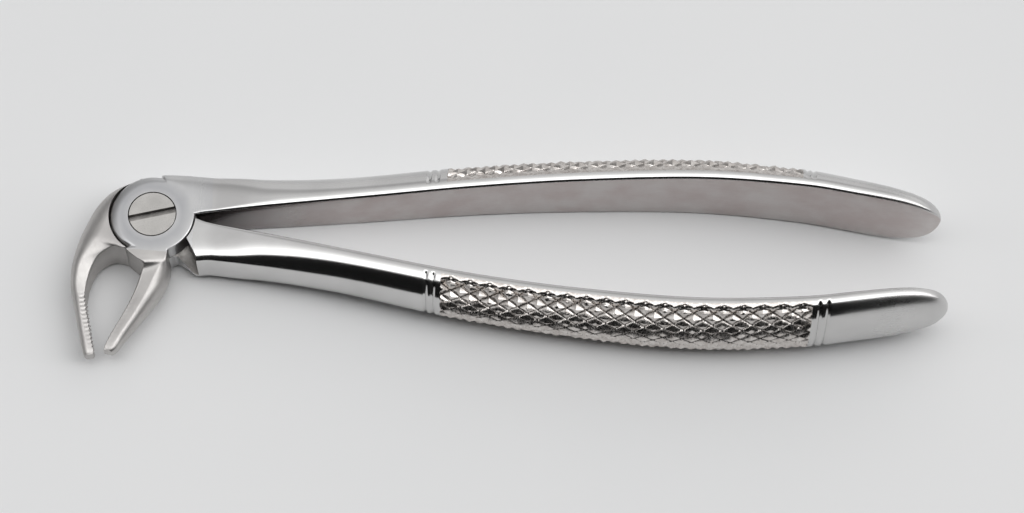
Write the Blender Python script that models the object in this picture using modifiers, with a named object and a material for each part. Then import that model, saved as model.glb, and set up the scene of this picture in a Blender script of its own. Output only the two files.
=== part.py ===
"""Dental extraction forceps, lower pattern: two forged halves crossing in a lap joint, held by one slotted screw.

Frame: the screw's axis is Z, the joint's rear face is z = 0, the handles run along +X, metres throughout.
Each half is one forging, lofted from ribs that run across it from the handle's end to the beak's tip.
A rib's A end is the handle's outside and, past the joint, the beak's gripping side. Its B end is the
handle's flat inside and, past the joint, the beak's back.
"""

import math

import bmesh
import bpy
import numpy as np

MM = 0.001

# Joint
JOINT_THICKNESS = 9.0
PLATE_RADIUS = 8.0
PLATE_GAP = 0.3                       # between the two halves, everywhere in the joint
SPLIT_HEIGHT = 4.9                    # middle of the gap between the two plates
RIM_DROP = 0.9                        # how far the front plate's rim falls below its face
RIM_WIDTH = 1.95
SHOULDER_ANGLE = 84                   # where the front half's neck steps out of the disc
CRESCENT_ANGLE = 111                  # where the rear half's crescent starts
STOP_FRONT_ANGLE = -120               # the two faces that meet when the forceps close
STOP_REAR_ANGLE = -122.4
LEDGE_ANGLE = -50.5                   # the ledge that stops the opening

# Screw
HEAD_RADIUS = 4.5
HEAD_DEPTH = 1.9
SHANK_RADIUS = 2.5
SLOT_WIDTH = 1.15
SLOT_DEPTH = 1.1
SLOT_ANGLE = 16

# Handles: distance along X, offset of the flat inside, thickness, width and share of it that is rounded
HANDLE_STATIONS = (
    (12.0, 1.2, 8.7, 9.2, 0.40),
    (22.0, 2.8, 7.4, 10.6, 0.62),
    (40.0, 5.6, 6.5, 12.0, 0.85),
    (60.0, 8.7, 6.6, 13.2, 0.90),
    (80.0, 10.9, 6.6, 14.7, 0.90),
    (103.0, 12.2, 6.5, 16.3, 0.90),
    (122.0, 11.4, 5.9, 17.2, 0.90),
    (134.0, 9.8, 5.4, 17.4, 0.90),
    (150.3, 7.3, 4.6, 17.4, 0.90),
)
HANDLE_END = 150.3
HANDLE_BOW = 0.55                     # both handles sweep gently to one side, this far at most
BOW_LENGTH = 110.0
END_ROUNDING = 15.0                   # length over which the handle's end rounds off
EDGE = 0.5                            # small bevel along the handle's inner edges

# Mesh
SPAN_STEPS = 2                        # ribs between two key ribs
HANDLE_RIBS = 22
END_RIBS = 8
CIRCLE_STEPS = 64


def clear_scene():
    for obj in list(bpy.data.objects):
        bpy.data.objects.remove(obj, do_unlink=True)


def new_collection(name):
    collection = bpy.data.collections.new(name)
    bpy.context.scene.collection.children.link(collection)
    return collection


def steel(name, color, roughness):
    material = bpy.data.materials.new(name)
    material.use_nodes = True
    shader = material.node_tree.nodes["Principled BSDF"]
    shader.inputs["Base Color"].default_value = (*color, 1.0)
    shader.inputs["Metallic"].default_value = 1.0
    shader.inputs["Roughness"].default_value = roughness
    return material


def polar(radius, degrees):
    angle = math.radians(degrees)
    return radius * math.cos(angle), radius * math.sin(angle)


def rib(a, b, half_a, half_b, corner_a, corner_b):
    """One rib: plan points a and b, half heights there, and each end's rounding (along the rib, upwards)."""
    return np.array([*a, *b, half_a, half_b, *corner_a, *corner_b])


def smooth_through(keys, steps):
    """Catmull-Rom: every key, with steps ribs for each span between two of them."""
    rows = []
    for i in range(len(keys) - 1):
        p0, p1 = keys[max(i - 1, 0)], keys[i]
        p2, p3 = keys[i + 1], keys[min(i + 2, len(keys) - 1)]
        for t in np.arange(steps) / steps:
            rows.append(0.5 * (2 * p1 + (p2 - p0) * t + (2 * p0 - 5 * p1 + 4 * p2 - p3) * t**2
                               + (3 * p1 - p0 - 3 * p2 + p3) * t**3))
    return rows + [keys[-1]]


def handle_table():
    """The handle's stations as a dense table, so that any distance along X can be read from it."""
    return np.array(smooth_through([np.array(s) for s in HANDLE_STATIONS], 12))


def handle_rib(table, x, side):
    """A D-shaped section of the handle at x; side is +1 for the front half and -1 for the rear half."""
    inside, thickness, width, rounded = (np.interp(x, table[:, 0], table[:, k]) for k in range(1, 5))
    past = max(0.0, (x - HANDLE_END + END_ROUNDING) / END_ROUNDING)
    width *= (1 - past**2.6) ** 0.5
    thinner = thickness * (1 - 0.85 * past**3)
    inside += 0.25 * (thickness - thinner)
    half = max(width / 2, 0.3)
    edge = min(EDGE, half / 2)
    corner_a = (rounded * thinner, half - 0.02)
    bow = -HANDLE_BOW * math.sin(math.pi * (x - HANDLE_STATIONS[0][0]) / BOW_LENGTH)
    outer, inner = bow + side * (inside + thinner), bow + side * inside
    return rib((x, outer), (x, inner), half, half, corner_a, (edge, edge))


def handle_ribs(side):
    table = handle_table()
    start = HANDLE_STATIONS[0][0]
    straight = np.linspace(start, HANDLE_END - END_ROUNDING, HANDLE_RIBS)
    turns = np.linspace(0, math.pi / 2 - 0.06, END_RIBS + 1)[1:]
    rounded = HANDLE_END - END_ROUNDING + END_ROUNDING * np.sin(turns)
    return [handle_rib(table, x, side) for x in (*rounded[::-1], *straight[::-1])]


def front_joint_and_beak():
    half = JOINT_THICKNESS / 2
    rim = (RIM_WIDTH, RIM_DROP)
    small = (0.3, 0.3)
    tall = half - 0.05
    keys = [
        rib((5.0, 9.45), (9.6, 0.8), half, half, (2.6, tall), (EDGE, EDGE)),
        rib(polar(8.9, SHOULDER_ANGLE - 1), (8.1, 0.5), half, half, (1.9, 2.4), small),
    ]
    for share in np.linspace(0, 1, 11):
        theta_a = SHOULDER_ANGLE + share * (360 + STOP_FRONT_ANGLE - SHOULDER_ANGLE)
        theta_b = 2.7 - share * 64.7
        keys.append(rib(polar(PLATE_RADIUS, theta_a), polar(PLATE_RADIUS, theta_b), half, half, rim, small))
    keys += [
        rib(polar(8.56, STOP_FRONT_ANGLE), (3.64, -7.6), half, half, small, small),
        rib((-2.45, -8.9), (3.6, -8.6), half, half, small, small),
        rib((-0.80, -10.0), (3.75, -9.4), 4.4, 4.4, (0.4, 0.4), (0.8, 1.2)),
        rib((-0.90, -10.9), (3.9, -10.4), 3.6, 4.1, (0.4, 0.4), (1.5, 2.6)),
        rib((-1.25, -13.0), (3.6, -12.7), 3.1, 3.6, (0.4, 0.4), (2.2, 3.0)),
        rib((-1.80, -15.6), (2.4, -15.4), 2.7, 3.1, (0.4, 0.4), (2.1, 2.6)),
        rib((-3.40, -19.8), (0.0, -19.4), 2.1, 2.4, (0.3, 0.3), (1.7, 2.0)),
        rib((-5.20, -23.6), (-3.1, -23.7), 1.6, 1.8, (0.2, 0.3), (1.1, 1.4)),
        rib((-6.40, -26.2), (-5.5, -26.5), 1.3, 1.4, (0.1, 0.2), (0.4, 0.8)),
        rib((-6.65, -26.8), (-6.2, -27.0), 1.1, 1.1, (0.1, 0.2), (0.1, 0.3)),
    ]
    return keys


def rear_joint_and_beak():
    half = JOINT_THICKNESS / 2
    small = (0.3, 0.3)
    tall = half - 0.05
    keys = [
        rib((9.3, -10.3), (9.1, -0.45), half, half, (3.0, tall), (EDGE, EDGE)),
        rib((8.2, -10.1), (8.05, 0.2), half, half, (2.8, 3.6), small),
        rib(polar(9.0, LEDGE_ANGLE), polar(PLATE_RADIUS, 20), half, half, (1.0, 1.0), small),
    ]
    for share in np.linspace(0, 1, 8):
        theta_a = LEDGE_ANGLE - 3.5 - share * 59
        theta_b = 30 + share * (CRESCENT_ANGLE - 31.5)
        keys.append(rib(polar(PLATE_RADIUS, theta_a), polar(PLATE_RADIUS, theta_b), half, half, small, small))
    keys += [
        rib(polar(PLATE_RADIUS, -114), polar(8.5, CRESCENT_ANGLE), half, half, small, (1.2, 3.0)),
        rib(polar(PLATE_RADIUS, -117), polar(8.9, 125), half, half, small, (2.4, tall)),
        rib(polar(PLATE_RADIUS, -119), polar(9.6, 138), half, half, small, (3.1, tall)),
        rib(polar(PLATE_RADIUS, -121), polar(10.5, 153), half, half, small, (3.8, tall)),
        rib(polar(8.1, STOP_REAR_ANGLE), polar(11.6, 171), half, half, small, (4.4, tall)),
        rib(polar(8.56, STOP_REAR_ANGLE), (-12.9, -2.8), half, 4.4, small, (4.6, 4.3)),
        rib((-6.60, -6.95), (-13.65, -6.0), 4.1, 4.1, (0.4, 0.4), (4.0, 4.0)),
        rib((-8.50, -7.90), (-14.05, -9.0), 3.7, 3.8, (0.4, 0.4), (3.4, 3.6)),
        rib((-10.0, -9.70), (-14.2, -11.6), 3.2, 3.4, (0.4, 0.4), (2.7, 3.2)),
        rib((-11.0, -13.0), (-14.0, -14.5), 2.7, 3.0, (0.4, 0.4), (2.0, 2.7)),
        rib((-11.1, -16.6), (-13.5, -17.4), 2.3, 2.6, (0.3, 0.3), (1.6, 2.2)),
        rib((-9.75, -22.2), (-12.0, -22.8), 1.7, 1.9, (0.3, 0.3), (1.4, 1.6)),
        rib((-8.70, -26.6), (-10.5, -27.1), 1.35, 1.4, (0.2, 0.2), (1.0, 1.0)),
        rib((-8.80, -27.9), (-9.7, -28.2), 1.1, 1.1, (0.1, 0.2), (0.3, 0.4)),
    ]
    return keys


def section(row):
    """The closed outline of one rib, as points in millimetres, with the joint's middle plane as its middle."""
    ax, ay, bx, by, half_a, half_b, ua, za, ub, zb = row
    length = math.hypot(ax - bx, ay - by)
    fit = min(1.0, 0.96 * length / (ua + ub))
    ua, ub = ua * fit, ub * fit
    za, zb = min(za, half_a - 0.02), min(zb, half_b - 0.02)
    points = []
    for degrees in np.linspace(180, 270, 4):
        points.append((ub + ub * math.cos(math.radians(degrees)), -half_b + zb + zb * math.sin(math.radians(degrees))))
    for degrees in np.linspace(270, 360, 6):
        points.append((length - ua + ua * math.cos(math.radians(degrees)),
                       -half_a + za + za * math.sin(math.radians(degrees))))
    outline = points + [(u, -z) for u, z in reversed(points)]
    dx, dy = (ax - bx) / length, (ay - by) / length
    middle = JOINT_THICKNESS / 2
    return [(bx + dx * u, by + dy * u, middle + z) for u, z in outline]


def loft(name, rows, material, collection):
    """A closed skin over the sections, capped at both ends."""
    bm = bmesh.new()
    rings = [[bm.verts.new([c * MM for c in p]) for p in section(row)] for row in rows]
    count = len(rings[0])
    for first, second in zip(rings, rings[1:]):
        for k in range(count):
            bm.faces.new((first[k], first[(k + 1) % count], second[(k + 1) % count], second[k]))
    bm.faces.new(rings[0][::-1])
    bm.faces.new(rings[-1])
    bmesh.ops.recalc_face_normals(bm, faces=bm.faces)
    mesh = bpy.data.meshes.new(name)
    bm.to_mesh(mesh)
    bm.free()
    mesh.materials.append(material)
    obj = bpy.data.objects.new(name, mesh)
    collection.objects.link(obj)
    return obj


def cylinder(name, radius, low, high, collection, steps=CIRCLE_STEPS):
    bm = bmesh.new()
    bmesh.ops.create_cone(bm, cap_ends=True, segments=steps, radius1=radius * MM, radius2=radius * MM,
                          depth=(high - low) * MM)
    bmesh.ops.translate(bm, verts=bm.verts, vec=(0, 0, (low + high) / 2 * MM))
    mesh = bpy.data.meshes.new(name)
    bm.to_mesh(mesh)
    bm.free()
    obj = bpy.data.objects.new(name, mesh)
    collection.objects.link(obj)
    return obj


def prism(name, outline, low, high, collection):
    """A plan outline pushed up from low to high."""
    bm = bmesh.new()
    floor = bm.faces.new([bm.verts.new((x * MM, y * MM, low * MM)) for x, y in outline])
    raised = bmesh.ops.extrude_face_region(bm, geom=[floor])
    top = [v for v in raised["geom"] if isinstance(v, bmesh.types.BMVert)]
    bmesh.ops.translate(bm, verts=top, vec=(0, 0, (high - low) * MM))
    bmesh.ops.recalc_face_normals(bm, faces=bm.faces)
    mesh = bpy.data.meshes.new(name)
    bm.to_mesh(mesh)
    bm.free()
    obj = bpy.data.objects.new(name, mesh)
    collection.objects.link(obj)
    return obj


def cut(obj, cutter):
    cutter.display_type = "WIRE"
    cutter.hide_render = True
    boolean = obj.modifiers.new(cutter.name, "BOOLEAN")
    boolean.operation = "DIFFERENCE"
    boolean.solver = "EXACT"
    boolean.object = cutter


def front_half(collection, cutters, material):
    rows = handle_ribs(1) + smooth_through(front_joint_and_beak(), SPAN_STEPS)
    obj = loft("front_half", rows, material, collection)
    lap = cylinder("cut_front_lap", PLATE_RADIUS + PLATE_GAP, -3, SPLIT_HEIGHT + PLATE_GAP / 2, cutters)
    head = cylinder("cut_head_seat", HEAD_RADIUS + PLATE_GAP, JOINT_THICKNESS - HEAD_DEPTH - PLATE_GAP,
                    JOINT_THICKNESS + 3, cutters)
    shank = cylinder("cut_front_hole", SHANK_RADIUS + PLATE_GAP, -4, JOINT_THICKNESS + 4, cutters)
    for cutter in (lap, head, shank):
        cut(obj, cutter)
    return obj


def rear_half(collection, cutters, material):
    rows = handle_ribs(-1) + smooth_through(rear_joint_and_beak(), SPAN_STEPS)
    obj = loft("rear_half", rows, material, collection)
    floor = SPLIT_HEIGHT - PLATE_GAP / 2
    lap = cylinder("cut_rear_lap", PLATE_RADIUS + PLATE_GAP, floor, JOINT_THICKNESS + 3, cutters)
    ledge = prism("cut_ledge", ((5.2, -3.4), (7.4, -3.4), (9.3, -7.0), (9.9, -11.5), (3.5, -11.5)),
                  floor, JOINT_THICKNESS + 3.2, cutters)
    shank = cylinder("cut_rear_hole", SHANK_RADIUS + PLATE_GAP, -4, JOINT_THICKNESS + 4, cutters)
    for cutter in (lap, ledge, shank):
        cut(obj, cutter)
    return obj


def joint_screw(collection, cutters, material):
    """A turned screw: head, shank and flat end, with a straight slot across the head."""
    head_floor = JOINT_THICKNESS - HEAD_DEPTH
    chamfer = 0.15
    profile = ((0, JOINT_THICKNESS), (HEAD_RADIUS - chamfer, JOINT_THICKNESS),
               (HEAD_RADIUS, JOINT_THICKNESS - chamfer), (HEAD_RADIUS, head_floor),
               (SHANK_RADIUS, head_floor), (SHANK_RADIUS, 0), (0, 0))
    mesh = bpy.data.meshes.new("joint_screw")
    edges = [(i, i + 1) for i in range(len(profile) - 1)]
    mesh.from_pydata([(r * MM, 0, z * MM) for r, z in profile], edges, [])
    mesh.materials.append(material)
    obj = bpy.data.objects.new("joint_screw", mesh)
    collection.objects.link(obj)
    turn = obj.modifiers.new("turn", "SCREW")
    turn.steps = turn.render_steps = CIRCLE_STEPS
    turn.use_merge_vertices = True
    turn.merge_threshold = 0.00001
    angle = math.radians(SLOT_ANGLE)
    along = (math.cos(angle) * 6, math.sin(angle) * 6)
    across = (-math.sin(angle) * SLOT_WIDTH / 2, math.cos(angle) * SLOT_WIDTH / 2)
    corners = [(i * along[0] + j * across[0], i * along[1] + j * across[1])
               for i, j in ((1, 1), (-1, 1), (-1, -1), (1, -1))]
    cut(obj, prism("cut_slot", corners, JOINT_THICKNESS - SLOT_DEPTH, JOINT_THICKNESS + 2, cutters))
    return obj


def main():
    clear_scene()
    parts = new_collection("extraction_forceps")
    cutters = new_collection("cutters")
    polished = steel("polished_steel", (0.62, 0.61, 0.60), 0.16)
    satin = steel("satin_steel", (0.58, 0.57, 0.55), 0.32)
    front_half(parts, cutters, polished)
    rear_half(parts, cutters, polished)
    joint_screw(parts, cutters, satin)


main()
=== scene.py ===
# %% [markdown]
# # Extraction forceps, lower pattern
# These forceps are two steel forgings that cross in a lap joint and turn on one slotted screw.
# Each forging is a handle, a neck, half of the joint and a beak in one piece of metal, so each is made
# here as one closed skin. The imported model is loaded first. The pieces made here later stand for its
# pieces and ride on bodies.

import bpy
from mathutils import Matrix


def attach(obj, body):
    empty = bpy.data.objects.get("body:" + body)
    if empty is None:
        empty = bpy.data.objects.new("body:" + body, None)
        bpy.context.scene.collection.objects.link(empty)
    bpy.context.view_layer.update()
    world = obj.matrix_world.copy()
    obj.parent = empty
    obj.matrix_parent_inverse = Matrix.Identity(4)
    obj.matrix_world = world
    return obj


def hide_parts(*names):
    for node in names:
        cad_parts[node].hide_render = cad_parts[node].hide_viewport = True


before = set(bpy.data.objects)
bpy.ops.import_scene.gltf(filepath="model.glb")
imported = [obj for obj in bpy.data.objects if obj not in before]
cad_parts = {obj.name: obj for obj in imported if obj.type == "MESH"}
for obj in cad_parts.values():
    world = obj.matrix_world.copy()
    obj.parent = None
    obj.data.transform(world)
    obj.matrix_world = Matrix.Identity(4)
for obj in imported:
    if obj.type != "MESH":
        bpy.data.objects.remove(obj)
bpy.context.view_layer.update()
print("packed pieces:", sorted(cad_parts))

# %% [markdown]
# ## Words and tools
# Lengths are in millimetres until a mesh is made. The screw's axis is Z, the handles run along +X, and
# the beaks point along -Y. numpy holds the points, because a forging here has tens of thousands of them.

# %% Imports and shared sizes
import math

import bmesh
import bpy
import mathutils
import numpy as np

MM = 0.001
JOINT_THICKNESS = 9.0
MIDDLE = JOINT_THICKNESS / 2
PLATE_RADIUS = 8.0
PLATE_GAP = 0.3
SPLIT_HEIGHT = 4.9
HEAD_RADIUS = 4.5
HEAD_GAP = 0.12
HEAD_DEPTH = 1.9
SHANK_RADIUS = 2.5
random = np.random.default_rng(7)
pieces = bpy.data.collections.new("forceps")
bpy.context.scene.collection.children.link(pieces)

# %% [markdown]
# ## Steel finishes
# One steel carries eight finishes: mirror-polished necks and handle ends, brushed insides, a satin joint,
# satin beaks, cut knurling, rough milled recesses that are darkened in part as painted shade, a near-black
# painted shade for narrow cuts, and the screw's turned head. A Principled shader with full metal takes its
# colour from what it reflects, so the finishes differ mostly in roughness and in the bump that breaks the
# reflection up. Noise in object coordinates drives both. The objects sit at the origin, so a metre of
# texture is a metre of steel. The brushed insides and the satin joint are also darkened round the screw,
# as painted shade.

# %% A node helper
def add_node(tree, kind, inputs=None, **settings):
    """A node with its settings, and with each named input either set to a value or linked to a socket."""
    node = tree.nodes.new(kind)
    for key, value in settings.items():
        setattr(node, key, value)
    for key, value in (inputs or {}).items():
        if isinstance(value, bpy.types.NodeSocket):
            tree.links.new(value, node.inputs[key])
        else:
            node.inputs[key].default_value = value
    return node


def stretched_noise(tree, stretch, scale, detail=3.0, roughness=0.55):
    """Noise in object space, drawn out along the axes where stretch is under 1."""
    place = add_node(tree, "ShaderNodeTexCoord")
    mapping = add_node(tree, "ShaderNodeMapping", {"Vector": place.outputs["Object"], "Scale": stretch})
    return add_node(tree, "ShaderNodeTexNoise", {
        "Vector": mapping.outputs["Vector"], "Scale": scale, "Detail": detail, "Roughness": roughness,
    }).outputs["Fac"]


def ramp(tree, fac, low, high, color_low, color_high):
    node = add_node(tree, "ShaderNodeValToRGB", {"Fac": fac})
    first, last = node.color_ramp.elements
    first.position, last.position = low, high
    first.color, last.color = (*color_low, 1.0), (*color_high, 1.0)
    return node.outputs["Color"]


def spread(tree, fac, low, high, to_low, to_high):
    return add_node(tree, "ShaderNodeMapRange", {
        "Value": fac, "From Min": low, "From Max": high, "To Min": to_low, "To Max": to_high,
    }).outputs["Result"]


def times(tree, value, factor):
    return add_node(tree, "ShaderNodeMath", {0: value, 1: factor}, operation="MULTIPLY").outputs[0]


def levels(tree, value, stops):
    """A table of (value, level) pairs, read off with straight lines between them."""
    low, high = stops[0][0], stops[-1][0]
    most = max(level for _, level in stops)
    node = add_node(tree, "ShaderNodeValToRGB", {"Fac": spread(tree, value, low, high, 0.0, 1.0)})
    elements = node.color_ramp.elements
    for at, _ in stops[1:-1]:
        elements.new((at - low) / (high - low))
    for element, (at, level) in zip(elements, stops):
        element.position = (at - low) / (high - low)
        element.color = (*[level / most] * 3, 1.0)
    return times(tree, node.outputs["Color"], most)


# %% A steel with a base colour, a patchy tint and a bump
PATCH_RANGE = (0.38, 0.64)           # the part of the noise that spreads the tint
MARK_RANGE = (0.35, 0.65)            # the part of the noise that spreads the roughness
MIX_A, MIX_B, MIXED = 6, 7, 2        # colour sockets of a Mix node


def steel(name, tint_low, tint_high, rough_low, rough_high, grain, grain_scale, bump, patch_scale=90.0,
          bump_depth=0.00002, along_x=None, shade_by_radius=None, shade_tint=(0.24, 0.25, 0.28)):
    """grain is the stretch of the fine marks, bump is how strongly they show, along_x scales the roughness
    by the distance from the screw along the handles, and the last two arguments mix a tint in by the
    distance from the screw's axis, as painted shade."""
    material = bpy.data.materials.new(name)
    material.use_nodes = True
    tree = material.node_tree
    shader = tree.nodes["Principled BSDF"]
    shader.inputs["Metallic"].default_value = 1.0
    patches = stretched_noise(tree, (1, 1, 1), patch_scale, 4.0)
    marks = stretched_noise(tree, grain, grain_scale, 4.0, 0.6)
    color = ramp(tree, patches, *PATCH_RANGE, tint_low, tint_high)
    rough = spread(tree, marks, *MARK_RANGE, rough_low, rough_high)
    place = add_node(tree, "ShaderNodeTexCoord").outputs["Object"]
    if along_x:
        x = add_node(tree, "ShaderNodeSeparateXYZ", {"Vector": place}).outputs["X"]
        rough = times(tree, rough, levels(tree, x, [(at * MM, level) for at, level in along_x]))
    # painted shade: a tint mixed in by the distance from the screw's axis
    if shade_by_radius:
        flat = add_node(tree, "ShaderNodeVectorMath", {0: place, 1: (1, 1, 0)}, operation="MULTIPLY")
        radius = add_node(tree, "ShaderNodeVectorMath", {0: flat.outputs[0]}, operation="LENGTH")
        keep = levels(tree, radius.outputs["Value"], [(at * MM, level) for at, level in shade_by_radius])
        shade = add_node(tree, "ShaderNodeMix", {0: keep}, data_type="RGBA")
        shade.inputs[MIX_A].default_value = (*shade_tint, 1.0)
        tree.links.new(color, shade.inputs[MIX_B])
        color = shade.outputs[MIXED]
    tree.links.new(color, shader.inputs["Base Color"])
    tree.links.new(rough, shader.inputs["Roughness"])
    relief = add_node(tree, "ShaderNodeBump", {"Height": marks, "Strength": bump, "Distance": bump_depth})
    tree.links.new(relief.outputs["Normal"], shader.inputs["Normal"])
    return material


polished = steel("polished_neck_steel", (0.56, 0.555, 0.55), (0.62, 0.615, 0.61), 0.125, 0.145,
                 (0.2, 1, 1), 1500.0, 0.12,
                 along_x=((0, 1.4), (13, 1.35), (22, 1.0), (126, 1.0), (134, 1.8), (151, 2.4)))
# painted shade: the brushed insides turn near-black towards the crotch between the halves, round the screw
inside = steel("brushed_inside_steel", (0.50, 0.445, 0.435), (0.56, 0.53, 0.52), 0.34, 0.46,
               (0.06, 1, 1), 5000.0, 0.55, 140.0, along_x=((0, 0.25), (17, 0.3), (34, 1.0), (151, 1.0)),
               shade_by_radius=((0, 0.05), (13, 0.12), (24, 0.6), (36, 1.0), (160, 1.0)), shade_tint=(0.09, 0.08, 0.08))
# painted shade: a darker ring round the screw's head, near the inner edge of the disc's soft rim
blasted = steel("satin_joint_steel", (0.55, 0.55, 0.555), (0.63, 0.627, 0.625), 0.28, 0.34,
                (1, 1, 1), 6000.0, 0.35, 120.0,
                along_x=((0, 1.0), (7, 1.0), (12.5, 0.6), (151, 0.6)),
                shade_by_radius=((0, 0.85), (4.6, 0.85), (5.7, 0.62), (6.6, 0.75), (7.8, 1.0), (40, 1.0)))
beak_steel = steel("satin_beak_steel", (0.48, 0.465, 0.455), (0.56, 0.545, 0.53), 0.38, 0.48,
                   (1, 0.5, 1), 4500.0, 0.35, 160.0)
knurled = steel("knurled_steel", (0.52, 0.485, 0.46), (0.68, 0.65, 0.625), 0.16, 0.30,
                (1, 1, 1), 2600.0, 0.6, 900.0, 0.00004)
# partly painted shade: milled steel is dark partly because a milled face is duller, and partly as shade in
# the recesses and the slot floor that it lines
milled = steel("milled_shaded_recess_steel", (0.26, 0.25, 0.24), (0.40, 0.385, 0.37), 0.38, 0.55,
               (1, 0.3, 1), 3000.0, 0.8, 500.0, 0.00005)
# painted shade: near-black steel for groove bottoms, the ledge's walls and the slot's walls, where shade
# falls
shadowed = steel("painted_shade_cut_steel", (0.05, 0.046, 0.045), (0.12, 0.11, 0.105), 0.35, 0.5,
                 (1, 1, 1), 3000.0, 0.5, 500.0)
turned = steel("turned_screw_steel", (0.48, 0.468, 0.45), (0.56, 0.545, 0.525), 0.26, 0.34,
               (1, 1, 1), 6000.0, 0.3, 220.0)
FINISHES = (polished, inside, blasted, beak_steel, knurled, milled, shadowed)
POLISHED, INSIDE, BLASTED, BEAK, KNURL, MILLED_SHADED, SHADOWED = range(len(FINISHES))
print("finishes:", [material.name for material in (*FINISHES, turned)])

# %% [markdown]
# ## A rib
# A forging could be modelled with boxes and a subdivision surface, but its handle, flat joint disc and
# hooked beak need very different sections. Here it is a row of ribs instead. A rib runs across the metal
# from its A end to its B end. On the handle A is the outside and B is the flat inside. Past the joint,
# A is the beak's gripping side and B is its back. A rib knows its half height and its corner rounding at
# each end, and a curve through key ribs gives as many ribs as the detail needs.

# %% Ribs and the curve through them
def polar(radius, degrees):
    angle = math.radians(degrees)
    return radius * math.cos(angle), radius * math.sin(angle)


def rib(a, b, half_a, half_b, corner_a, corner_b, hollow=0.0, power=2.0):
    """Plan points a and b, half heights, corner roundings (along the rib, upwards), how far A is hollowed,
    and the power of A's rounding: 2 is an ellipse and more is boxier."""
    return np.array([*a, *b, half_a, half_b, *corner_a, *corner_b, hollow, power])


def smooth_through(keys, steps):
    """Catmull-Rom through the key ribs, with its own number of steps for each span."""
    rows = []
    for i in range(len(keys) - 1):
        p0, p1 = keys[max(i - 1, 0)], keys[i]
        p2, p3 = keys[i + 1], keys[min(i + 2, len(keys) - 1)]
        for t in np.arange(steps[i]) / steps[i]:
            rows.append(0.5 * (2 * p1 + (p2 - p0) * t + (2 * p0 - 5 * p1 + 4 * p2 - p3) * t**2
                               + (3 * p1 - p0 - 3 * p2 + p3) * t**3))
    return rows + [keys[-1]]


# %% The outline of one rib
A_SIDE = 54                      # points from the crown of the A side to each of its edges
CORNER = 9                       # points round each B corner
INSIDE_POINTS = 5                # points across the flat B end
TURN_WEIGHT = 2.0                # millimetres that one radian of turning counts for
ROUND_SAMPLES, FACE_SAMPLES, LID_SAMPLES = 90, 21, 7
CORNER_SHARE = 0.96              # the two corners take at most this share of the rib
FLAT_LEFT = 0.02                 # and leave at least this much flat height, in millimetres


def quarter(reach_u, reach_z, count, power=2.0):
    """A quarter of a superellipse from (0, reach_z) to (reach_u, 0)."""
    t = np.linspace(0, math.pi / 2, count)
    return np.stack([reach_u * np.sin(t) ** (2 / power), reach_z * np.abs(np.cos(t)) ** (2 / power)], 1)


def along(points, count, turn_weight):
    """count points along a polyline, spaced by length and, where turn_weight is over 0, by turning too."""
    legs = np.diff(points, axis=0)
    length = np.hypot(*legs.T)
    angle = np.unwrap(np.arctan2(legs[:, 1], legs[:, 0]))
    turning = np.abs(np.gradient(angle))
    step = np.r_[0, np.cumsum(length + turn_weight * turning + 1e-9)]
    where = np.linspace(0, step[-1], count)
    return np.stack([np.interp(where, step, points[:, k]) for k in (0, 1)], 1)


def outline(row, turn_weight):
    """The closed outline of a rib in world millimetres: the A side from top to bottom, then back round B."""
    ax, ay, bx, by, half_a, half_b, ua, za, ub, zb, hollow, power = row
    length = math.hypot(ax - bx, ay - by)
    fit = min(1.0, CORNER_SHARE * length / (ua + ub))
    ua, ub = ua * fit, ub * fit
    za, zb = min(za, half_a - FLAT_LEFT), min(zb, half_b - FLAT_LEFT)
    top = quarter(ua, za, ROUND_SAMPLES, power) + (length - ua, half_a - za)
    heights = np.linspace(half_a - za, za - half_a, FACE_SAMPLES)
    grip = np.stack([np.full(FACE_SAMPLES, length), heights], 1)[1:-1]
    grip[:, 0] -= hollow * (1 - (grip[:, 1] / (half_a - za)) ** 2)
    lid = np.linspace((ub, half_b), top[0], LID_SAMPLES)[:-1]
    upper = np.vstack([lid, top])
    side_a = along(np.vstack([upper, grip, (upper * (1, -1))[::-1]]), 2 * A_SIDE + 1, turn_weight)
    corner = (quarter(ub, zb, CORNER) * (-1, 1) + (ub, half_b - zb))[1:]
    flat = np.linspace(corner[-1] * (1, -1), corner[-1], INSIDE_POINTS + 2)[1:-1]
    loop = np.vstack([side_a, corner * (1, -1), flat, corner[::-1]])
    direction = np.array([(ax - bx) / length, (ay - by) / length])
    plan = np.array([bx, by]) + loop[:, :1] * direction
    return np.column_stack([plan, MIDDLE + loop[:, 1]])


COLUMNS = len(outline(rib((10, 0), (0, 0), 4, 4, (1, 1), (1, 1)), 0.0))
LAST_A = 2 * A_SIDE
FIRST_INSIDE = LAST_A + CORNER - 1
print("points round a rib:", COLUMNS)

# %% [markdown]
# ## The handles
# A handle is a D in section: rounded outside for the palm, flat inside, with a crisp bevel where the two
# meet. It widens towards its end, bows a little, and its end is rounded off like a tongue. The stations
# below give the offset of the flat inside, the thickness and the width. A second table gives the power of
# the rounding, which is boxy at the shoulder and falls to 2, where the outside is one elliptical arc.

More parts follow.
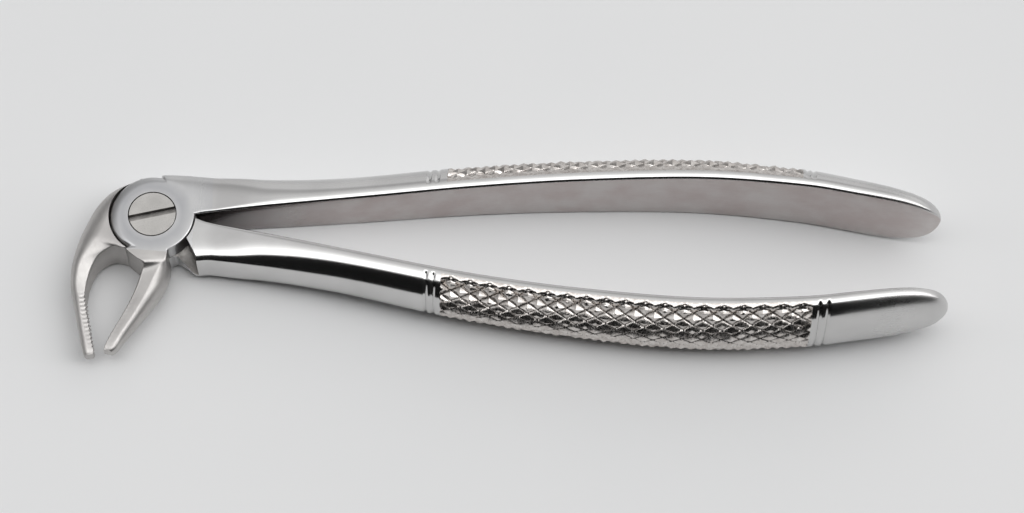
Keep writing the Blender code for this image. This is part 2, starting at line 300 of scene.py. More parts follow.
# %% Handle stations and ribs
HANDLE_STATIONS = (
    (12.0, 1.2, 7.7, 9.2), (22.0, 2.8, 6.9, 10.6), (31.0, 4.2, 6.45, 11.4), (40.0, 5.6, 6.3, 12.0),
    (60.0, 8.7, 6.6, 13.2), (80.0, 10.9, 6.6, 14.7), (103.0, 12.2, 6.5, 16.3), (122.0, 11.4, 5.9, 17.2),
    (134.0, 9.8, 5.4, 17.4), (151.0, 7.2, 4.6, 17.4),
)
POWER_STATIONS = ((10, 6.0), (13, 5.4), (16, 4.4), (20, 3.1), (24, 2.55), (30, 2.2), (40, 2.05), (60, 2.0),
                  (151, 2.0))
STATION_STEPS = 12
HANDLE_START = 12.0
HANDLE_ENDS = {1: 149.6, -1: 151.0}
HANDLE_BOW, BOW_LENGTH = 0.55, 110.0
END_ROUNDING, END_POWER = 15.0, 3.0           # the tongue: how long it is, and how full its sides are
END_THINNING, THINNING_POWER = 0.3, 2.5
NOSE, NOSE_THINNING = 3.5, 0.97               # the last stretch, where the thickness rolls off
INNER_RISE = 0.4                              # share of the thinning that the flat inside takes
LEAST_HALF = 0.3
EDGE = 0.5                                    # corner of the inside at the neck
INNER_CORNER = {1: (0.2, 0.5), -1: (0.13, 0.3)}     # further along: share of the thickness, drop
CORNER_RUN = 12.0                             # how far the corner takes to grow


def dense(stations):
    keys = [np.array(s) for s in stations]
    return np.array(smooth_through(keys, [STATION_STEPS] * (len(keys) - 1)))


handle_table, power_table = dense(HANDLE_STATIONS), dense(POWER_STATIONS)
print("thickest and widest, mm:", handle_table[:, 2].max().round(1), handle_table[:, 3].max().round(1))


def handle_rib(x, side):
    """A D-shaped rib at x; side is +1 for the front half and -1 for the rear half."""
    offset, thickness, width = (np.interp(x, handle_table[:, 0], handle_table[:, k]) for k in (1, 2, 3))
    power = np.interp(x, power_table[:, 0], power_table[:, 1])
    past = max(0.0, (x - HANDLE_ENDS[side] + END_ROUNDING) / END_ROUNDING)
    nose = max(0.0, (x - HANDLE_ENDS[side] + NOSE) / NOSE)
    width *= (1 - past**END_POWER) ** 0.5
    thinner = thickness * (1 - END_THINNING * past**THINNING_POWER) * (1 - NOSE_THINNING * nose**2) ** 0.5
    offset += INNER_RISE * (thickness - thinner)
    half = max(width / 2, LEAST_HALF)
    share, drop = INNER_CORNER[side]
    fade = np.clip((x - HANDLE_START) / CORNER_RUN, 0, 1)
    edge = EDGE + (share * thinner - EDGE) * fade
    drop = min(EDGE + (drop - EDGE) * fade, half / 2)
    bow = -HANDLE_BOW * math.sin(math.pi * (x - HANDLE_START) / BOW_LENGTH)
    outer, inner = bow + side * (offset + thinner), bow + side * offset
    return rib((x, outer), (x, inner), half, half, (thinner - edge, half), (edge, drop), power=power)


# %% [markdown]
# ## Knurling
# The grip is cut with two families of V grooves, each slanting 35 to 38 degrees off the handle's line,
# and they leave a field of small pyramids. A bump map can't give their sharp facets or the jagged edge of
# the field, so the grooves are cut into the mesh. The mesh lines are laid so that both families run
# exactly through mesh points: seven steps to half a pyramid, along the handle and round it. Then a groove
# never looks like a saw. Each pyramid leans, sinks and is worn a little differently, like a real cut.

# %% Where the mesh lines fall along the handle
HALF_CELL = 7                        # mesh steps in half a pyramid
KNURL_CELLS = 19
BORDER_ROWS = 7                      # half pyramids from the crown to the edge of the grip
RING_STEP, RING_WIDTH, RING_DEPTH = 0.09, 0.5, 0.3
RING_MARGIN = 0.9                    # fine ribs start this far before the outermost ring
RING_STOP, RING_RUN_OUT = 2, 4       # a ring stops this many points before the edge, fading over these
LEAST_STEP = 0.04                    # between the last fine rib and the knurling
NECK_RIBS, TONGUE_RIBS = 56, 30
LAST_TURN = 0.03                     # radians left at the tongue's last rib, so that it isn't a point
PLAIN_STEP, PLAIN_LEAD = 0.5, 0.4    # between ribs where the handle is smooth


class Handle:
    """Mesh lines of one handle: x of every rib, which ribs are knurled, and where its ring grooves are."""

    def __init__(self, side, knurl_start, pitch, rings):
        self.side, self.rings = side, rings
        step = pitch / (2 * HALF_CELL)
        knurl_end = knurl_start + KNURL_CELLS * pitch
        neck = np.linspace(HANDLE_START, rings[0] - RING_MARGIN, NECK_RIBS)[:-1]
        ring_a = np.arange(rings[0] - RING_MARGIN, knurl_start - LEAST_STEP, RING_STEP)
        knurl = knurl_start + step * np.arange(KNURL_CELLS * 2 * HALF_CELL + 1)
        ring_b = np.arange(knurl_end + RING_STEP, rings[-1] + RING_MARGIN, RING_STEP)
        turns = np.linspace(0, math.pi / 2 - LAST_TURN, TONGUE_RIBS)[1:]
        bend = HANDLE_ENDS[side] - END_ROUNDING
        plain = np.arange(ring_b[-1] + PLAIN_LEAD, bend, PLAIN_STEP)
        end = np.r_[plain, bend + END_ROUNDING * np.sin(turns)]
        self.x = np.r_[neck, ring_a, knurl, ring_b, end]
        self.first_knurl = len(neck) + len(ring_a)
        self.last_knurl = self.first_knurl + len(knurl) - 1


front_handle = Handle(1, 55.4, 3.54, (51.9, 53.5, 123.6, 124.7))
rear_handle = Handle(-1, 55.6, 3.65, (52.7, 54.1, 126.4, 128.0))
print("ribs in a handle:", len(front_handle.x), len(rear_handle.x))


# %% The depth of the cuts at every mesh point
KNURL_DEPTH, SLIT_DEPTH = 0.68, 0.12
PROUD = 0.08                         # how far the metal is pushed up at the pyramids' tops
BORDER_FLANK = 0.32                  # width of the outermost grooves' outer flank, in pyramids
BORDER_FADE, BORDER_DEPTH = 0.7, 0.25     # the cuts get shallow over this width, down to this share
END_MARGIN = 0.2                     # a pyramid has to be this far inside the ends of the field
ON_LINE = 0.01                       # this close to a groove's line, in pyramids, a point lies on it
# a groove's bottom is cut a little deeper and painted with shade where it is this deep
DEEP_SHARE = 0.7                     # a groove's bottom is dark where it is this deep
VARIETY = 97                         # pyramids before the random numbers repeat
# each pyramid's lean and sinking in millimetres, and how much of its top is worn off
cell_tilt = random.normal(0, 0.14, (2, VARIETY, VARIETY))
cell_drop = random.uniform(0, 0.16, (VARIETY, VARIETY))
cell_wear = random.uniform(0, 1, (VARIETY, VARIETY)) ** 3 * 0.4
print("groove and ring depth, mm:", KNURL_DEPTH, RING_DEPTH)


def knurl_relief(handle):
    """Height over the handle's plain surface for each rib (rows) and each A-side point (columns), and
    which of those points lie at the bottom of a groove."""
    i = np.arange(len(handle.x))[:, None] - handle.first_knurl
    j = np.arange(-A_SIDE, A_SIDE + 1)[None, :]
    on_grid = (i >= 0) & (i <= handle.last_knurl - handle.first_knurl)
    whole = 2 * HALF_CELL
    a, b = (i + j) / whole, (i - j) / whole
    ca, cb = np.floor(a), np.floor(b)
    fa, fb = a - ca, b - cb

    def in_grip(cell_a, cell_b):
        center_x = (cell_a + cell_b + 1) / 2
        inside_ends = (center_x > END_MARGIN) & (center_x < KNURL_CELLS - END_MARGIN)
        return (np.abs(cell_a - cell_b) < BORDER_ROWS) & inside_ends

    near = np.minimum(np.minimum(fa, 1 - fa), np.minimum(fb, 1 - fb))
    picks = (ca.astype(int) % VARIETY, cb.astype(int) % VARIETY)
    rise = np.minimum(near * 2, 1 - cell_wear[picks])
    tilt = cell_tilt[0][picks] * (fa - 0.5) + cell_tilt[1][picks] * (fb - 0.5)
    pyramids = -KNURL_DEPTH * (1 - rise) + rise * (tilt - cell_drop[picks] + PROUD)
    edge = np.zeros_like(pyramids)
    for shift, gap in (((-1, 0), fa), ((1, 0), 1 - fa), ((0, -1), fb), ((0, 1), 1 - fb)):
        cut = -KNURL_DEPTH * np.clip(1 - gap / BORDER_FLANK, 0, 1)
        edge = np.minimum(edge, np.where(in_grip(ca + shift[0], cb + shift[1]), cut, 0))
    fade = np.clip((BORDER_ROWS - np.abs(a - b)) / BORDER_FADE, BORDER_DEPTH, 1)
    relief = np.where(in_grip(ca, cb), pyramids, edge) * fade * on_grid
    groove = (near < ON_LINE) & (relief < -DEEP_SHARE * KNURL_DEPTH)
    return relief - SLIT_DEPTH * groove, groove


def ring_relief(handle):
    """The ring grooves, which run out just before the flat inside."""
    to_edge = A_SIDE - RING_STOP - np.abs(np.arange(-A_SIDE, A_SIDE + 1))
    fade = np.clip(to_edge / RING_RUN_OUT, 0, 1)
    cut = sum(np.clip(1 - np.abs(handle.x - ring) / RING_WIDTH, 0, 1) for ring in handle.rings)
    return -RING_DEPTH * cut[:, None] * fade[None, :]


# %% [markdown]
# ## The skin of a handle
# The cuts go square into the metal, so the relief has to push each point square to the surface. A Displace
# modifier would do that too, but it can't leave sharp groove lines. The surface's own slopes along and
# round the handle give the direction at every point, as the cross product of the two.

# %% Points of one handle
def surface_normals(grid):
    along_x = np.gradient(grid, axis=0)
    around = np.roll(grid, -1, axis=1) - np.roll(grid, 1, axis=1)
    cross = np.cross(along_x, around)
    return cross / np.maximum(np.linalg.norm(cross, axis=2, keepdims=True), 1e-9)


def handle_points(handle):
    grid = np.array([outline(handle_rib(x, handle.side), 0.0) for x in handle.x])
    normals = surface_normals(grid)
    middle = grid.mean(axis=1, keepdims=True)
    outward = np.sign(((grid - middle) * normals).sum(axis=2, keepdims=True).mean())
    relief, groove = knurl_relief(handle)
    relief += ring_relief(handle)
    print("deepest cut, mm:", round(float(-relief.min()), 2))
    grid[:, :LAST_A + 1] += outward * normals[:, :LAST_A + 1] * relief[:, :, None]
    return grid, groove


# %% [markdown]
# ## Joint halves and beaks
# Past the neck the ribs swing round the screw: their A ends walk round the disc one way and their B ends
# the other, so a rib turns from lying across the neck to lying across the beak. The front half's disc has
# a soft rim. The rear half's body is a crescent that holds the disc. Both beaks are hooked, thin out
# towards their tips and have hollowed gripping sides.

# %% Key ribs of the front half
SMALL = (0.3, 0.3)
TALL = MIDDLE - 0.05
RIM = (1.95, 0.9)                     # the disc's soft rim: how wide, and how far it falls
SHOULDER_ANGLE, STOP_FRONT_ANGLE = 84, -120.4


def front_keys():
    keys = [
        handle_rib(19.0, 1), handle_rib(HANDLE_START, 1),
        rib((5.0, 9.15), (9.6, 0.8), MIDDLE, MIDDLE, (5.5, TALL), (EDGE, EDGE), power=4.5),
        rib(polar(8.9, SHOULDER_ANGLE - 1), (8.1, 0.5), MIDDLE, MIDDLE, (2.6, 2.4), SMALL, power=2.6),
    ]
    steps = [1, 24, 20, 8]
    for share in np.linspace(0, 1, 11):
        rim_a = polar(PLATE_RADIUS, SHOULDER_ANGLE + share * (360 + STOP_FRONT_ANGLE - SHOULDER_ANGLE))
        rim_b = polar(PLATE_RADIUS, 2.7 - share * 64.7)
        keys.append(rib(rim_a, rim_b, MIDDLE, MIDDLE, RIM, SMALL))
        steps.append(9)
    keys += [
        rib(polar(8.56, STOP_FRONT_ANGLE), (3.64, -7.6), MIDDLE, MIDDLE, SMALL, SMALL),
        rib((-2.45, -8.9), (3.6, -8.6), MIDDLE, MIDDLE, SMALL, SMALL),
        rib((-0.80, -10.0), (3.75, -9.4), 4.4, 4.4, (0.4, 0.4), (0.8, 1.2)),
        rib((-0.90, -10.9), (3.9, -10.4), 3.6, 4.1, (0.4, 0.4), (1.5, 2.6), hollow=0.2),
        rib((-1.40, -13.0), (3.6, -12.7), 3.1, 3.6, (0.4, 0.4), (2.2, 3.0), hollow=0.45),
        rib((-2.15, -15.6), (2.5, -15.4), 2.7, 3.1, (0.35, 0.35), (2.1, 2.6), hollow=0.55),
        rib((-3.90, -19.8), (0.1, -19.4), 2.1, 2.4, (0.25, 0.3), (1.7, 2.0), hollow=0.5),
        rib((-5.70, -23.6), (-2.7, -23.8), 1.6, 1.8, (0.2, 0.25), (1.2, 1.4), hollow=0.35),
        rib((-6.60, -25.9), (-4.3, -26.4), 1.3, 1.4, (0.15, 0.2), (0.8, 0.8), hollow=0.15),
        rib((-6.75, -26.7), (-5.1, -27.1), 1.1, 1.1, (0.1, 0.2), (0.5, 0.4)),
    ]
    steps += [8, 8, 8, 12, 14, 22, 22, 16, 5]
    return keys, steps


print("key ribs of the front joint:", len(front_keys()[0]))


# %% Key ribs of the rear half
LEDGE_ANGLE, CRESCENT_ANGLE, STOP_REAR_ANGLE = -50.5, 111, -122.0


def rear_keys():
    keys = [
        handle_rib(19.0, -1), handle_rib(HANDLE_START, -1),
        rib((9.3, -9.1), (9.1, -0.45), MIDDLE, MIDDLE, (8.2, TALL), (EDGE, EDGE), power=6.0),
        rib((8.2, -8.9), (8.05, 0.2), MIDDLE, MIDDLE, (8.5, TALL), SMALL, power=6.0),
        rib(polar(9.0, LEDGE_ANGLE), polar(PLATE_RADIUS, 20), MIDDLE, MIDDLE, (1.0, 1.0), SMALL),
    ]
    steps = [1, 12, 8, 12, 8]
    for share in np.linspace(0, 1, 8):
        rim_a = polar(PLATE_RADIUS, LEDGE_ANGLE - 3.5 - share * 59)
        rim_b = polar(PLATE_RADIUS, 30 + share * (CRESCENT_ANGLE - 31.5))
        keys.append(rib(rim_a, rim_b, MIDDLE, MIDDLE, SMALL, SMALL))
        steps.append(8)
    keys += [
        rib(polar(PLATE_RADIUS, -114), polar(8.5, CRESCENT_ANGLE), MIDDLE, MIDDLE, SMALL, (1.2, 3.0)),
        rib(polar(PLATE_RADIUS, -117), polar(8.9, 125), MIDDLE, MIDDLE, SMALL, (2.4, TALL)),
        rib(polar(PLATE_RADIUS, -119), polar(9.6, 138), MIDDLE, MIDDLE, SMALL, (3.1, TALL)),
        rib(polar(PLATE_RADIUS, -121), polar(10.5, 153), MIDDLE, MIDDLE, SMALL, (3.8, TALL)),
        rib(polar(8.1, STOP_REAR_ANGLE), polar(11.6, 171), MIDDLE, MIDDLE, SMALL, (4.4, TALL)),
        rib(polar(8.56, STOP_REAR_ANGLE), (-13.2, -2.8), MIDDLE, 4.4, SMALL, (4.0, 4.2)),
        rib((-6.60, -6.95), (-14.05, -6.0), 4.1, 4.1, (0.4, 0.4), (3.3, 3.8), hollow=0.1),
        rib((-8.50, -7.90), (-14.5, -9.0), 3.7, 3.8, (0.4, 0.4), (2.7, 3.4), hollow=0.25),
        rib((-10.0, -9.70), (-14.6, -11.6), 3.2, 3.4, (0.4, 0.4), (2.1, 3.0), hollow=0.35),
        rib((-11.0, -13.0), (-14.3, -14.5), 2.7, 3.0, (0.35, 0.35), (1.6, 2.5), hollow=0.45),
        rib((-11.1, -16.6), (-13.5, -17.4), 2.3, 2.6, (0.25, 0.3), (1.3, 2.0), hollow=0.45),
        rib((-9.75, -22.2), (-12.0, -22.8), 1.7, 1.9, (0.2, 0.25), (1.1, 1.4), hollow=0.3),
        rib((-8.60, -26.6), (-10.7, -27.1), 1.35, 1.4, (0.15, 0.2), (1.0, 1.0), hollow=0.12),
        rib((-8.60, -27.8), (-10.1, -28.1), 1.1, 1.1, (0.1, 0.2), (0.5, 0.4)),
    ]
    steps += [5, 7, 7, 9, 9, 10, 10, 10, 16, 20, 34, 28, 10]
    return keys, steps


print("key ribs of the rear joint:", len(rear_keys()[0]))


# %% [markdown]
# ## Teeth on the gripping edges
# Both edges of each gripping side carry fine cross teeth, so that the beaks don't slip on a wet tooth.
# On the inner beak they are so shallow that they hardly show. Booleans could cut them one by one, but
# here they are a sawtooth along the beak. It moves the ribs' points, and it fades into the hollow between
# the edges.

# %% Points of a joint half with its beak
TOOTH_PITCH = 0.8
TEETH_START, TEETH_END = -15.6, -26.8
LEAD_IN, LEAD_OUT = 1.0, 0.4          # how far the first and the last teeth take to reach full depth
EDGE_SHARE, EDGE_BLEND = 0.4, 0.3     # share of the half height without teeth, and their fade
TOOTH_REACH, REACH_BLEND = 0.9, 0.5   # how far back from the edge the teeth go, and their fade
WEIGHT_STEP = 0.12                    # the spacing by turning comes in slowly, rib by rib


def joint_points(keys, steps, tooth_depth):
    rows = smooth_through(keys, steps)[steps[0]:]
    grid = np.array([outline(row, min(TURN_WEIGHT, WEIGHT_STEP * k)) for k, row in enumerate(rows)])
    side = grid[:, :LAST_A + 1]
    crown = side[:, A_SIDE]
    first = np.clip((TEETH_START - crown[:, 1]) / LEAD_IN, 0, 1)
    last = np.clip((crown[:, 1] - TEETH_END) / LEAD_OUT, 0, 1)
    tooth = np.abs((crown[:, 1] / TOOTH_PITCH) % 1 - 0.5) * 2 * tooth_depth * (first * last)
    rise = np.abs(side[:, :, 2] - MIDDLE) / np.maximum(np.abs(side[:, 0:1, 2] - MIDDLE), 1e-6)
    back = grid[:, FIRST_INSIDE + 3]
    inward = back[:, :2] - crown[:, :2]
    inward /= np.linalg.norm(inward, axis=1, keepdims=True)
    depth = ((side[:, :, :2] - crown[:, None, :2]) * inward[:, None, :]).sum(axis=2)
    reach = np.clip((rise - EDGE_SHARE) / EDGE_BLEND, 0, 1)
    reach *= np.clip((TOOTH_REACH - depth) / REACH_BLEND, 0, 1)
    side[:, :, :2] += inward[:, None, :] * (tooth[:, None] * reach)[:, :, None]
    return grid


print("teeth along a gripping edge:", int((TEETH_START - TEETH_END) / TOOTH_PITCH))


# %% [markdown]
# ## From points to a closed mesh
# Each half is one closed grid of points: the handle's ribs from its end to the neck, then the joint's
# ribs to the beak's tip, with a cap at both ends. A remesh could join separate pieces, but it would round
# off every edge. In the knurled field each square is split along the groove that crosses it, so that
# groove bottoms stay straight lines, and the thin faces along them take the painted shade.

# %% Mesh builder
def grid_faces(row_count, split_rows):
    """Quads between neighbouring ribs; those in split_rows become triangles along the nearest groove."""
    faces, where = [], []
    whole = 2 * HALF_CELL
    for r in range(row_count - 1):
        start = split_rows.get(r)
        for c in range(COLUMNS):
            d = (c + 1) % COLUMNS
            p, q, s, t = (r * COLUMNS + c, r * COLUMNS + d, (r + 1) * COLUMNS + d, (r + 1) * COLUMNS + c)
            if start is None or c >= LAST_A:
                faces.append((p, q, s, t))
                where.append((r, c))
                continue
            j = c - A_SIDE
            to_a = min((start + j) % whole, -(start + j) % whole)
            to_b = min((start - 1 - j) % whole, -(start - 1 - j) % whole)
            faces += [(p, q, t), (q, s, t)] if to_a < to_b else [(p, q, s), (p, s, t)]
            where += [(r, c), (r, c)]
    return faces, where


def place_piece(name, mesh):
    obj = bpy.data.objects.new(name, mesh)
    pieces.objects.link(obj)
    return obj


def build_skin(name, grid, split_rows, deep, finish_of):
    """deep numbers the points that lie in a groove; a knurled face with an edge there takes the painted
    shade.
    """
    faces, where = grid_faces(len(grid), split_rows)
    count = len(grid) * COLUMNS
    faces.append(tuple(range(COLUMNS))[::-1])
    faces.append(tuple(range(count - COLUMNS, count)))
    mesh = bpy.data.meshes.new(name)
    mesh.from_pydata((grid.reshape(-1, 3) * MM).tolist(), [], faces)
    for material in FINISHES:
        mesh.materials.append(material)
    marks = [finish_of(r, c) for r, c in where] + [POLISHED, BEAK]
    # knurled faces along a groove's bottom take the painted shade
    marks = [SHADOWED if mark == KNURL and sum(v in deep for v in face) > 1 else mark
             for mark, face in zip(marks, faces)]
    mesh.polygons.foreach_set("material_index", marks)
    bm = bmesh.new()
    bm.from_mesh(mesh)
    bmesh.ops.recalc_face_normals(bm, faces=bm.faces)
    bm.to_mesh(mesh)
    bm.free()
    return place_piece(name, mesh)


# %% [markdown]
# ## Cutting the lap
# The disc of one half sits in a round recess in the other, exactly as the real joint is milled. So the
# recess, the ledge, the screw's seat and its hole are Booleans, which leave the same crisp edges as a
# milling cutter. The fresh faces take their finish from the cutter: milled steel, darkened in part as
# painted shade, or the near-black painted shade where a wall is narrow.

# %% Cutters
CIRCLE = 160


def prism(name, corners, lows, high, floor_finish=MILLED_SHADED, wall_finish=MILLED_SHADED):
    """A cutter from a plan outline, with its own lowest height at each corner. Its ends carry one finish
    and its walls another."""
    count = len(corners)
    points = [(*p, z) for p, z in zip(corners, lows)] + [(*p, high) for p in corners]
    faces = [tuple(range(count))[::-1], tuple(range(count, 2 * count))]
    faces += [(k, (k + 1) % count, count + (k + 1) % count, count + k) for k in range(count)]
    mesh = bpy.data.meshes.new(name)
    mesh.from_pydata([[c * MM for c in p] for p in points], [], faces)
    for material in FINISHES:
        mesh.materials.append(material)
    mesh.polygons.foreach_set("material_index", [floor_finish] * 2 + [wall_finish] * count)
    return place_piece(name, mesh)


def round_cutter(name, radius, low, high):
    return prism(name, [polar(radius, 360 * k / CIRCLE) for k in range(CIRCLE)], [low] * CIRCLE, high)


def subtract(obj, cutters):
    for tool in cutters:
        boolean = obj.modifiers.new(tool.name, "BOOLEAN")
        boolean.operation, boolean.solver, boolean.object = "DIFFERENCE", "MANIFOLD", tool
    evaluated = obj.evaluated_get(bpy.context.evaluated_depsgraph_get())
    mesh = bpy.data.meshes.new_from_object(evaluated)
    obj.modifiers.clear()
    obj.data = mesh
    for tool in cutters:
        bpy.data.objects.remove(tool, do_unlink=True)


def finish_edges(obj, degrees):
    obj.data.shade_smooth()
    obj.data.set_sharp_from_angle(angle=math.radians(degrees))
    triangles = sum(len(p.vertices) - 2 for p in obj.data.polygons)
    print(f"{obj.name}: {triangles} triangles")


# %% Build a half
def build_half(name, handle, keys, steps, tooth_depth, neck_ribs, inner_ribs, beak_rib):
    """neck_ribs are polished outside, inner_ribs are brushed inside, and the beak starts at beak_rib. All
    three count from the neck."""
    handle_grid, in_groove = handle_points(handle)
    handle_grid, in_groove = handle_grid[::-1], in_groove[::-1]
    deep = {int(r) * COLUMNS + int(c) for r, c in zip(*np.nonzero(in_groove))}
    grid = np.vstack([handle_grid, joint_points(keys, steps, tooth_depth)[1:]])
    last = len(handle.x) - 1
    split = {last - i - 1: i - handle.first_knurl for i in range(handle.first_knurl, handle.last_knurl)}

    def finish_of(r, c):
        inner = FIRST_INSIDE <= c <= FIRST_INSIDE + INSIDE_POINTS
        k = r - last
        if k < 0:
            grip = r in split and abs(c + 0.5 - A_SIDE) < A_SIDE - 2
            return INSIDE if inner else KNURL if grip else POLISHED
        if inner and k < inner_ribs:
            return INSIDE
        return POLISHED if k < neck_ribs else BEAK if k > beak_rib else BLASTED

    return build_skin(name, grid, split, deep, finish_of)


# %% [markdown]
# ### Front half
# The upper forging: its plate is the disc on top of the joint, and it carries the inner beak. The real
# one is forged, milled underneath and bored for the screw. The skin is built first and cut afterwards, in
# the same order, because the disc's underside is then truly flat.

# %% The front forging
SPLIT_CLEARANCE = 0.1                 # each plate stays this far from the middle of the split
BORE_CLEARANCE = 0.2                  # round the shank and under the head
HOLE_RADIUS = SHANK_RADIUS + BORE_CLEARANCE
SEAT_FLOOR = JOINT_THICKNESS - HEAD_DEPTH - BORE_CLEARANCE
ABOVE, BELOW = JOINT_THICKNESS + 3, -3          # cutters reach well past the metal
SHARP_ANGLE = 26

front = build_half("front_half_steel", front_handle, *front_keys(), tooth_depth=0.12,
                   neck_ribs=4, inner_ribs=42, beak_rib=150)
subtract(front, [
    round_cutter("front_lap", PLATE_RADIUS + PLATE_GAP, BELOW, SPLIT_HEIGHT + SPLIT_CLEARANCE),
    round_cutter("head_seat", HEAD_RADIUS + HEAD_GAP, SEAT_FLOOR, ABOVE),
    round_cutter("front_hole", HOLE_RADIUS, BELOW - 1, ABOVE + 1),
])
finish_edges(front, SHARP_ANGLE)

# %% [markdown]
# ### Rear half
# The lower forging: its crescent holds the disc, a ledge lies beside the disc, and it carries the outer
# beak with the deeper teeth. The ledge is a pocket with a sloping floor, as a milling cutter leaves it, and
# its walls are painted with shade. It could be drawn into the ribs, but its corner would be soft, so it is a
# Boolean too.

# %% The rear forging
LAP_FLOOR = SPLIT_HEIGHT - SPLIT_CLEARANCE
LEDGE = ((3.5, -11.5), (9.35, -11.5), (9.1, -8.0), (6.3, -3.4), (5.0, -3.4))
LEDGE_SLOPE, SLOPE_START = 0.5, 10.4


def ledge_height(x, y):
    """The ledge falls away from the lap towards the neck's outer corner."""
    return LAP_FLOOR - LEDGE_SLOPE * max(-1.0, (x - y - SLOPE_START) / math.sqrt(2))


rear = build_half("rear_half_steel", rear_handle, *rear_keys(), tooth_depth=0.3,
                  neck_ribs=20, inner_ribs=20, beak_rib=110)
subtract(rear, [
    round_cutter("rear_lap", PLATE_RADIUS + PLATE_GAP, LAP_FLOOR, ABOVE),
    # the ledge's floor takes the milled steel, and its walls take the painted shade
    prism("ledge", LEDGE, [ledge_height(x, y) for x, y in LEDGE], ABOVE + 0.2, MILLED_SHADED, SHADOWED),
    round_cutter("rear_hole", HOLE_RADIUS, BELOW - 1, ABOVE + 1),
])
finish_edges(rear, SHARP_ANGLE)

# %% [markdown]
# ### The screw
# A turned screw with a flush head, the pin that the forceps open on. Two plain cylinders would leave no
# chamfer, so its outline is spun round the axis instead. One straight slot is cut across the head, turned
# a little from the handles' line, as the screw happened to seat.

# %% Spin and slot the screw
SLOT_WIDTH, SLOT_DEPTH, SLOT_ANGLE, SLOT_REACH = 1.3, 1.1, 16, 6
SPIN = 128
HEAD_CHAMFER, END_CHAMFER = 0.1, 0.15
SCREW_FINISHES = (turned, milled, shadowed)
# the slot's floor takes the milled steel, darkened in part as painted shade, and its walls the painted shade
SLOT_FLOOR, SLOT_WALL = 1, 2


def turned_screw():
    under = JOINT_THICKNESS - HEAD_DEPTH
    profile = [(HEAD_RADIUS - HEAD_CHAMFER, JOINT_THICKNESS), (HEAD_RADIUS, JOINT_THICKNESS - HEAD_CHAMFER),
               (HEAD_RADIUS, under), (SHANK_RADIUS, under),
               (SHANK_RADIUS, END_CHAMFER), (SHANK_RADIUS - END_CHAMFER, 0)]
    points = [(*polar(r, 360 * k / SPIN), z) for r, z in profile for k in range(SPIN)]
    faces = [(n * SPIN + k, (n + 1) * SPIN + k, (n + 1) * SPIN + (k + 1) % SPIN, n * SPIN + (k + 1) % SPIN)
             for n in range(len(profile) - 1) for k in range(SPIN)]
    faces.append(tuple(range(SPIN)))
    faces.append(tuple(range((len(profile) - 1) * SPIN, len(profile) * SPIN))[::-1])
    mesh = bpy.data.meshes.new("pivot_screw")
    mesh.from_pydata([[c * MM for c in p] for p in points], [], faces)
    for material in SCREW_FINISHES:
        mesh.materials.append(material)
    return place_piece("pivot_screw", mesh)


screw = turned_screw()
run, half_slot = polar(SLOT_REACH, SLOT_ANGLE), polar(SLOT_WIDTH / 2, SLOT_ANGLE + 90)
slot_corners = [(i * run[0] + j * half_slot[0], i * run[1] + j * half_slot[1])
                for i, j in ((-1, -1), (1, -1), (1, 1), (-1, 1))]
slot_floor = [JOINT_THICKNESS - SLOT_DEPTH] * len(slot_corners)
subtract(screw, [prism("slot", slot_corners, slot_floor, JOINT_THICKNESS + 2, SLOT_FLOOR, SLOT_WALL)])
finish_edges(screw, degrees=30)

# %% [markdown]
# ## Bodies
# Each piece rides on its body and stands for its imported node, so the forceps open and close in one
# shared frame. The screw turns with the rear half, because that is where its thread holds.

# %% Ride and replace
for piece, body, node, slot in ((front, "front_body", "front_half", "polished_steel"),
                                (rear, "rear_body", "rear_half", "polished_steel"),
                                (screw, "rear_body", "joint_screw", "satin_steel")):
    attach(piece, body)
    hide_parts(node)
    print(f"{piece.name} rides on {body} and stands for {node}")

# %% [markdown]
# ## Table and light
# Polished steel shows the room it is in: a dark room in front, a broad bright panel overhead and paler
# paper behind. Area lights could make the panel, but the steel would show their hard edges. A world shader
# whose brightness depends only on direction gives the panel soft edges and lights the table too. The
# forceps rest on the joint and on the widest part of the handles, so the table is tipped a little
# against the joint's plane.

# %% Table
TABLE_LOW_X, TABLE_HIGH_X = 103.0, -8.0
TABLE_LOW_Z, TABLE_HIGH_Z = -3.66, -0.01
TABLE_REACH = 3000.0
PAPER_SHADES = (0.825, 0.83, 0.835), (0.845, 0.847, 0.85)


def table_height(x):
    return TABLE_HIGH_Z + (x - TABLE_HIGH_X) * (TABLE_LOW_Z - TABLE_HIGH_Z) / (TABLE_LOW_X - TABLE_HIGH_X)


def build_table():
    corners = [(x * TABLE_REACH, y * TABLE_REACH, table_height(x * TABLE_REACH))
               for x, y in ((-1, -1), (1, -1), (1, 1), (-1, 1))]
    mesh = bpy.data.meshes.new("table")
    mesh.from_pydata([[c * MM for c in p] for p in corners], [], [(0, 1, 2, 3)])
    paper = bpy.data.materials.new("pale_paper")
    paper.use_nodes = True
    shader = paper.node_tree.nodes["Principled BSDF"]
    clouds = stretched_noise(paper.node_tree, (1, 1, 1), 9.0)
    shade = ramp(paper.node_tree, clouds, 0.3, 0.7, *PAPER_SHADES)
    paper.node_tree.links.new(shade, shader.inputs["Base Color"])
    shader.inputs["Roughness"].default_value = 0.9
    shader.inputs["Specular IOR Level"].default_value = 0.1
    mesh.materials.append(paper)
    obj = bpy.data.objects.new("table", mesh)
    bpy.context.scene.collection.objects.link(obj)
    print("table height at the joint and at the handles' widest, mm:",
          round(table_height(0), 2), round(table_height(TABLE_LOW_X), 2))


build_table()

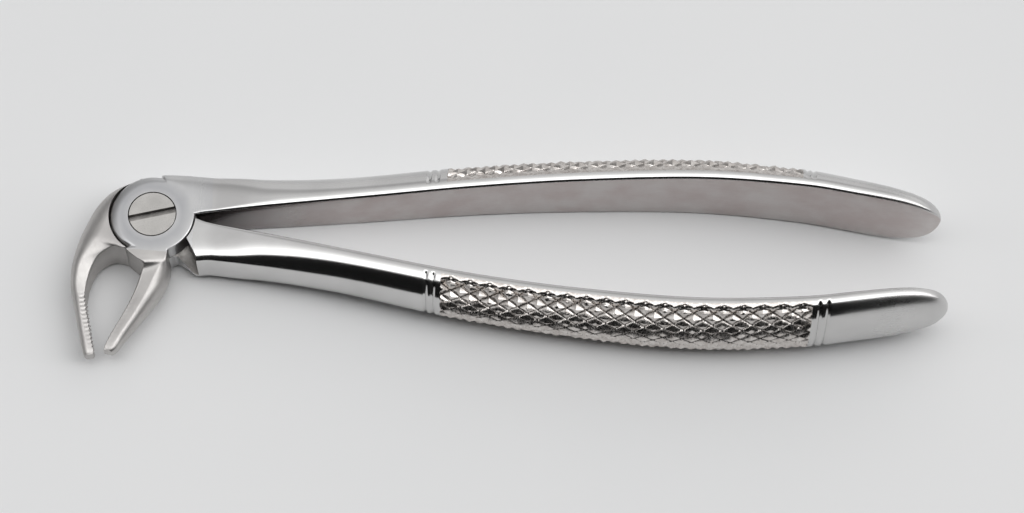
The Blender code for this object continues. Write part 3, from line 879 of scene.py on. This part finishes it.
# %% The room
# how bright the room is, by degrees up from the front horizon and over to the back, and then by how far
# to the left (-1) or right (+1)
ROOM = ((0, 0.012), (69, 0.012), (76, 2.8), (88, 2.7), (98, 1.75), (107, 1.15), (115, 0.85), (124, 0.58),
        (131, 0.52), (142, 0.8), (180, 0.75))
SIDES = ((-1, 0.3), (-0.55, 0.45), (-0.2, 1.0), (0.3, 1.0), (0.6, 1.3), (1, 1.1))


def build_room():
    world = bpy.data.worlds.new("studio")
    bpy.context.scene.world = world
    world.use_nodes = True
    tree = world.node_tree
    place = add_node(tree, "ShaderNodeTexCoord")
    axes = add_node(tree, "ShaderNodeSeparateXYZ", {"Vector": place.outputs["Generated"]})
    front = times(tree, axes.outputs["Y"], -1.0)
    turn = add_node(tree, "ShaderNodeMath", {0: axes.outputs["Z"], 1: front}, operation="ARCTAN2")
    over = levels(tree, turn.outputs[0], [(math.radians(degrees), level) for degrees, level in ROOM])
    across = levels(tree, axes.outputs["X"], SIDES)
    tree.nodes["Background"].inputs["Color"].default_value = (1.0, 1.0, 1.0, 1.0)
    tree.links.new(times(tree, over, across), tree.nodes["Background"].inputs["Strength"])
    print("brightest direction, degrees over from the front:", max(ROOM, key=lambda stop: stop[1])[0])


build_room()
bpy.context.scene.view_settings.view_transform = "Standard"

# %% [markdown]
# ## Camera
# A long lens from well above the handles, as in a catalogue. It keeps the handles nearly parallel in the
# view. The view matrix is built from its own look and right directions, because the picture is turned a
# little and a track-to constraint would level it.

# %% Camera
CAMERA_PLACE = (82.97, -247.47, 560.26)
CAMERA_LOOK = (-0.02393, 0.40283, -0.91496)
CAMERA_TURN = 3.4                     # degrees that the camera's right side is turned from +X
camera = bpy.data.cameras.new("camera")
camera.lens, camera.sensor_width = 112.5, 36.0
camera.clip_start, camera.clip_end = 0.01, 20.0
camera_object = bpy.data.objects.new("camera", camera)
bpy.context.scene.collection.objects.link(camera_object)
look = mathutils.Vector(CAMERA_LOOK).normalized()
right = mathutils.Vector((*polar(1, CAMERA_TURN), 0.0))
up = right.cross(look)
camera_object.matrix_world = mathutils.Matrix((
    (right.x, up.x, -look.x, CAMERA_PLACE[0] * MM),
    (right.y, up.y, -look.y, CAMERA_PLACE[1] * MM),
    (right.z, up.z, -look.z, CAMERA_PLACE[2] * MM),
    (0, 0, 0, 1)))
bpy.context.scene.camera = camera_object
print("camera height over the joint, mm:", round(CAMERA_PLACE[2]))
